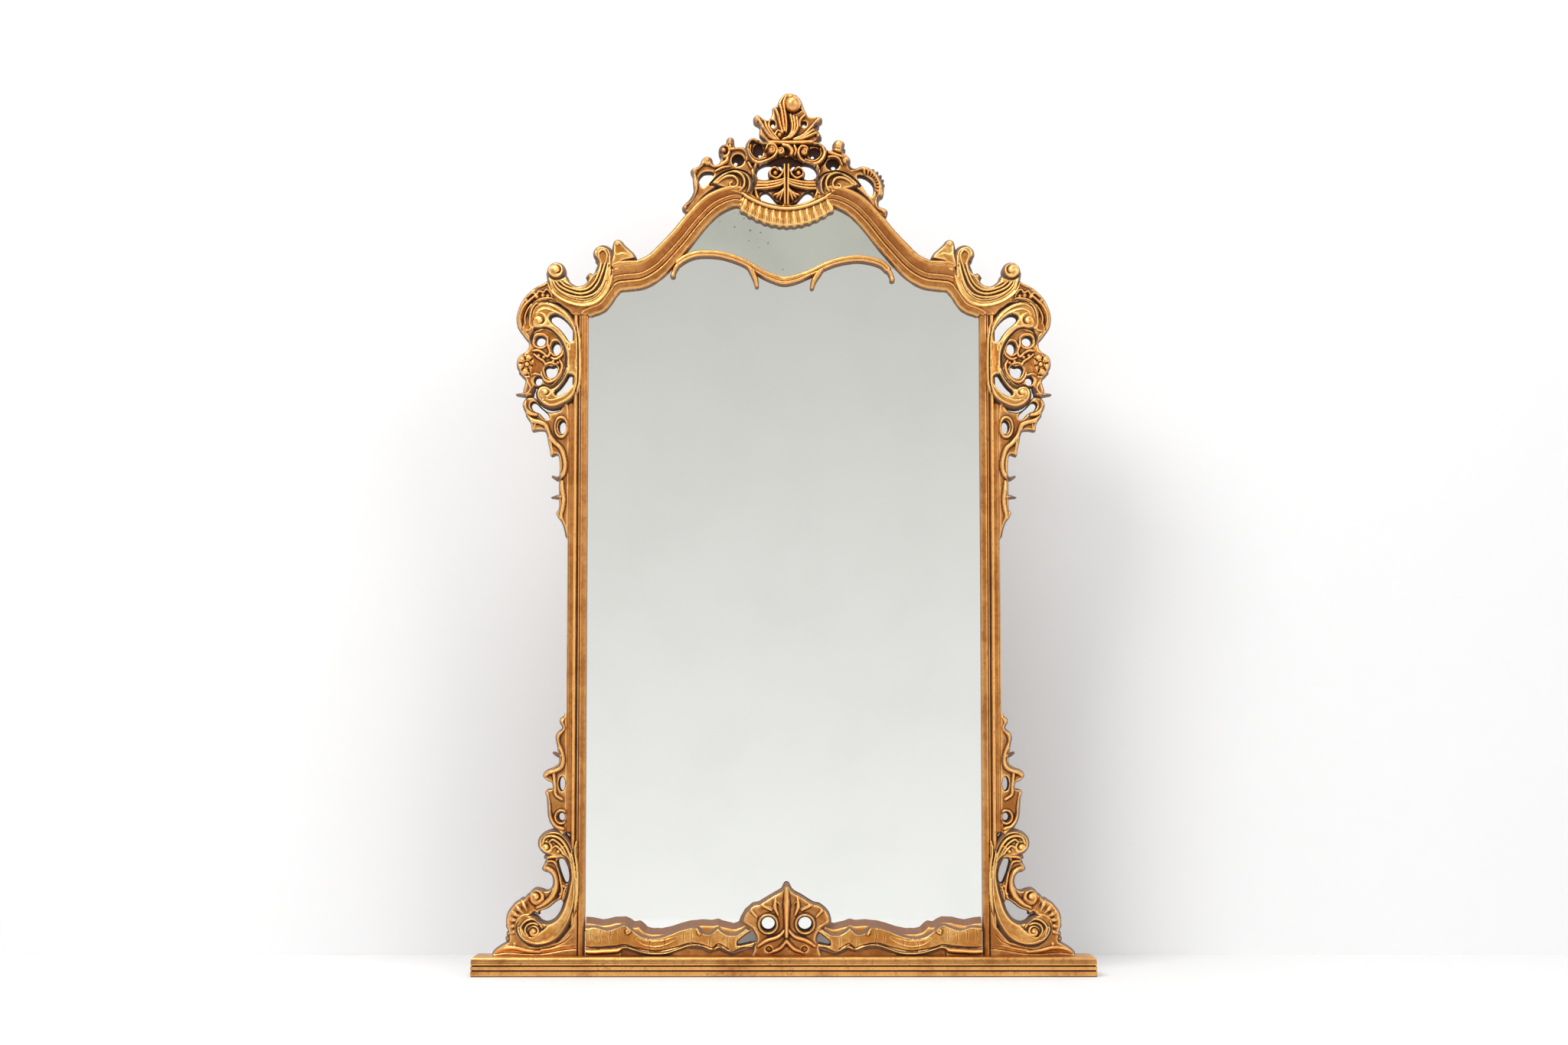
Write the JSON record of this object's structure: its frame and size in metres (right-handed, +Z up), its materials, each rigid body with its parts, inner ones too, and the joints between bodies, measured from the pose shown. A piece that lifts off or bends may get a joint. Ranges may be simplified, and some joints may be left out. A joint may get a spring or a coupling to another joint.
{
  "type": "pier mirror",
  "caption": "Giltwood pier mirror with an arched moulded frame, pierced rococo scroll carving, a carved glazing bar across a two-pane glass, and a reeded plinth rail.",
  "frame": {"origin": "centre of the plinth's underside, on the surface the mirror stands on", "axes": "+Z up, -Y towards the viewer in front of the glass, +X to the viewer's right"},
  "size_m": [0.994, 0.08, 1.4335],
  "materials": {
    "gilt_moulding": "gold leaf over red bole on wood, rubbed, with brown patina in the grooves",
    "gilt_scroll": "burnished pale gold leaf over red bole on carved wood",
    "gilt_leaf": "worn coppery gold leaf over red bole on carved wood",
    "main_mirror": "silvered plate glass",
    "upper_mirror": "older silvered glass, slightly green and foxed",
    "back_wood": "bare planed softwood, darkened",
    "zinc_steel": "dulled zinc plate",
    "button_brass": "dull aged brass"
  },
  "bodies": {
    "frame": {"plinth_rail": "gilt_moulding", "bottom_rail": "gilt_moulding", "stile_left": "gilt_moulding", "stile_right": "gilt_moulding", "shoulder_left": "gilt_moulding", "shoulder_right": "gilt_moulding", "arch_left": "gilt_moulding", "arch_right": "gilt_moulding", "ear_scroll_left": "gilt_scroll", "ear_scroll_right": "gilt_scroll", "corner_scroll_left": "gilt_scroll", "corner_scroll_right": "gilt_scroll", "corner_vine_left": "gilt_leaf", "corner_vine_right": "gilt_leaf", "corner_leaf_left": "gilt_leaf", "corner_leaf_right": "gilt_leaf", "leaf_drop_left": "gilt_leaf", "leaf_drop_right": "gilt_leaf", "stile_spray_left": "gilt_leaf", "stile_spray_right": "gilt_leaf", "lower_scroll_left": "gilt_scroll", "lower_scroll_right": "gilt_scroll", "scroll_stem_left": "gilt_leaf", "scroll_stem_right": "gilt_leaf", "foot_shell_left": "gilt_leaf", "foot_shell_right": "gilt_leaf", "bottom_ribbon_left": "gilt_scroll", "bottom_ribbon_right": "gilt_scroll", "bottom_palmette": "gilt_scroll", "crest_swag": "gilt_scroll", "arch_volute_left": "gilt_scroll", "arch_volute_right": "gilt_scroll", "crest_cartouche": "gilt_leaf", "crest_finial": "gilt_leaf", "crest_wing_left": "gilt_leaf", "crest_wing_right": "gilt_leaf", "glazing_bar": "gilt_leaf", "glass_main": "main_mirror", "glass_upper": "upper_mirror", "backboard": "back_wood", "hanger_strap_left": "zinc_steel", "hanger_strap_right": "zinc_steel", "strap_screw_left_1": "zinc_steel", "strap_screw_left_2": "zinc_steel", "strap_screw_right_1": "zinc_steel", "strap_screw_right_2": "zinc_steel", "button_screw_left_1": "zinc_steel", "button_screw_left_2": "zinc_steel", "button_screw_left_3": "zinc_steel", "button_screw_right_1": "zinc_steel", "button_screw_right_2": "zinc_steel", "button_screw_right_3": "zinc_steel"},
    "left_ring": {"d_ring_left": "zinc_steel"},
    "right_ring": {"d_ring_right": "zinc_steel"},
    "left_button_1": {"turn_button_left_1": "button_brass"},
    "left_button_2": {"turn_button_left_2": "button_brass"},
    "left_button_3": {"turn_button_left_3": "button_brass"},
    "right_button_1": {"turn_button_right_1": "button_brass"},
    "right_button_2": {"turn_button_right_2": "button_brass"},
    "right_button_3": {"turn_button_right_3": "button_brass"}
  },
  "joints": [
    {"name": "left_ring_swing", "type": "hinge", "parent": "frame", "child": "left_ring", "pos_m": [-0.3375, 0.0325, 0.8275], "axis": [1, 0, 0], "range_deg": [0, 175]},
    {"name": "right_ring_swing", "type": "hinge", "parent": "frame", "child": "right_ring", "pos_m": [0.3375, 0.0325, 0.8275], "axis": [1, 0, 0], "range_deg": [0, 175]},
    {"name": "left_button_1_turn", "type": "hinge", "parent": "frame", "child": "left_button_1", "pos_m": [-0.333, 0.02955, 0.2975], "axis": [0, 1, 0], "range_deg": [-90, 90]},
    {"name": "left_button_2_turn", "type": "hinge", "parent": "frame", "child": "left_button_2", "pos_m": [-0.333, 0.02955, 0.6375], "axis": [0, 1, 0], "range_deg": [-90, 90]},
    {"name": "left_button_3_turn", "type": "hinge", "parent": "frame", "child": "left_button_3", "pos_m": [-0.333, 0.02955, 0.8975], "axis": [0, 1, 0], "range_deg": [-90, 90]},
    {"name": "right_button_1_turn", "type": "hinge", "parent": "frame", "child": "right_button_1", "pos_m": [0.333, 0.02955, 0.2975], "axis": [0, 1, 0], "range_deg": [-90, 90]},
    {"name": "right_button_2_turn", "type": "hinge", "parent": "frame", "child": "right_button_2", "pos_m": [0.333, 0.02955, 0.6375], "axis": [0, 1, 0], "range_deg": [-90, 90]},
    {"name": "right_button_3_turn", "type": "hinge", "parent": "frame", "child": "right_button_3", "pos_m": [0.333, 0.02955, 0.8975], "axis": [0, 1, 0], "range_deg": [-90, 90]}
  ]
}
